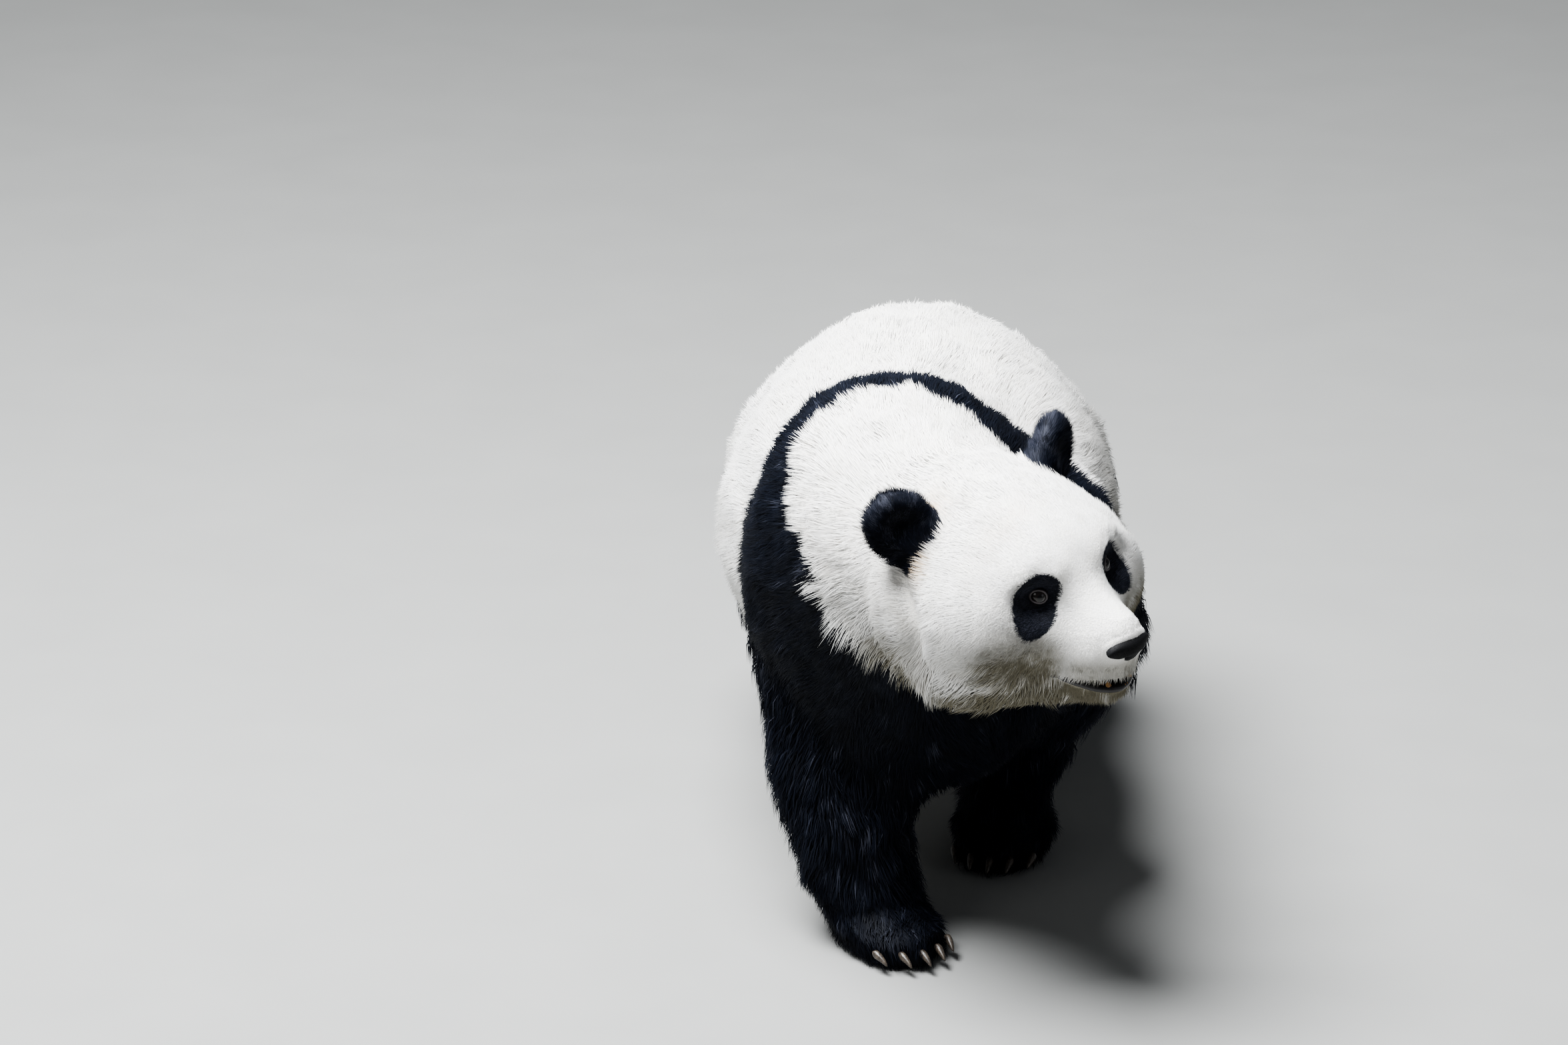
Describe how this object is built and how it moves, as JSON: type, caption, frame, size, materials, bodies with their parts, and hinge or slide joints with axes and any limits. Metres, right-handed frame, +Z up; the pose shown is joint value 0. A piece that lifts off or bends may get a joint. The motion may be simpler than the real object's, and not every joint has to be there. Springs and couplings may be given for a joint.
{
  "type": "giant panda",
  "caption": "Life-size giant panda in a slow walk, head turned to its left, with round ears, black eye patches and a black band over the shoulders",
  "frame": {"origin": "on the floor, at the middle of the bounding box's bottom face", "axes": "+Z up; the animal faces -Y, with its left side towards +X; its body runs along Y"},
  "size_m": [0.5972, 1.2508, 0.7122],
  "materials": {
    "white_coat": "dense creamy white fur",
    "black_coat": "shaggy black fur with a faint blue sheen",
    "nose": "moist black grained skin",
    "eye": "wet dark brown eye",
    "claw": "worn horn",
    "tooth": "stained ivory"
  },
  "bodies": {
    "root": {"ear_left": "black_coat", "ear_right": "black_coat", "foreleg_left": "black_coat", "foreleg_right": "black_coat", "forepaw_left": "black_coat", "forepaw_right": "black_coat", "hindleg_left": "black_coat", "hindleg_right": "black_coat", "hindpaw_left": "black_coat", "hindpaw_right": "black_coat", "shoulders": "black_coat", "forepaw_left_claw_1": "claw", "forepaw_left_claw_2": "claw", "forepaw_left_claw_3": "claw", "forepaw_left_claw_4": "claw", "forepaw_left_claw_5": "claw", "forepaw_right_claw_1": "claw", "forepaw_right_claw_2": "claw", "forepaw_right_claw_3": "claw", "forepaw_right_claw_4": "claw", "forepaw_right_claw_5": "claw", "hindpaw_left_claw_1": "claw", "hindpaw_left_claw_2": "claw", "hindpaw_left_claw_3": "claw", "hindpaw_left_claw_4": "claw", "hindpaw_left_claw_5": "claw", "hindpaw_right_claw_1": "claw", "hindpaw_right_claw_2": "claw", "hindpaw_right_claw_3": "claw", "hindpaw_right_claw_4": "claw", "hindpaw_right_claw_5": "claw", "eye_left": "eye", "eye_right": "eye", "nose": "nose", "tooth_left": "tooth", "tooth_right": "tooth", "barrel": "white_coat", "face": "white_coat", "head": "white_coat", "lower_jaw": "white_coat", "neck": "white_coat", "rump": "white_coat", "tail": "white_coat"}
  },
  "joints": []
}
